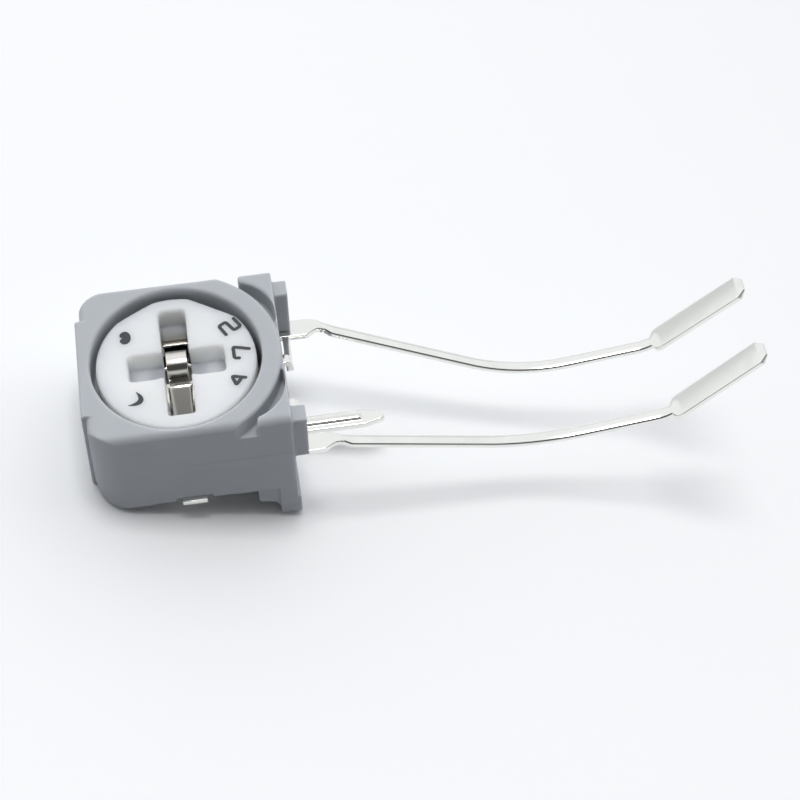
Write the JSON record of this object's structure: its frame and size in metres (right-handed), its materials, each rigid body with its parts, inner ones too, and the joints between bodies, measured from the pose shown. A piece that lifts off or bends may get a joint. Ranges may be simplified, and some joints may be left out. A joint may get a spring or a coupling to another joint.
{
  "type": "trimmer potentiometer",
  "caption": "Small open-dial trimmer potentiometer with a cross-slot rotor, long formed end leads with flat paddles, and a short ribbed centre terminal.",
  "frame": {"origin": "on the dial axis, level with the top of the housing's dial ring", "axes": "+Z along the dial axis, out of the dial; +X the way the terminals leave, towards the board"},
  "size_m": [0.0389, 0.0108, 0.0099],
  "materials": {
    "housing": "matt",
    "rotor": "satin",
    "wiper": "polished",
    "substrate": "matt",
    "resistive_track": "satin",
    "track_end_pads": "matt",
    "collector_plate": "tinned",
    "leads": "tinned"
  },
  "bodies": {
    "housing_body": {"housing": "housing", "substrate": "substrate", "resistive_track": "resistive_track", "track_end_pads": "track_end_pads", "collector_plate": "collector_plate", "rear_lead": "leads", "front_lead": "leads"},
    "rotor_body": {"rotor": "rotor", "wiper": "wiper"}
  },
  "joints": [
    {"name": "rotor_turn", "type": "hinge", "parent": "housing_body", "child": "rotor_body", "pos_m": [0, 0, 0], "axis": [0, 0, 1], "range_deg": [-207.5, 27.5]}
  ]
}
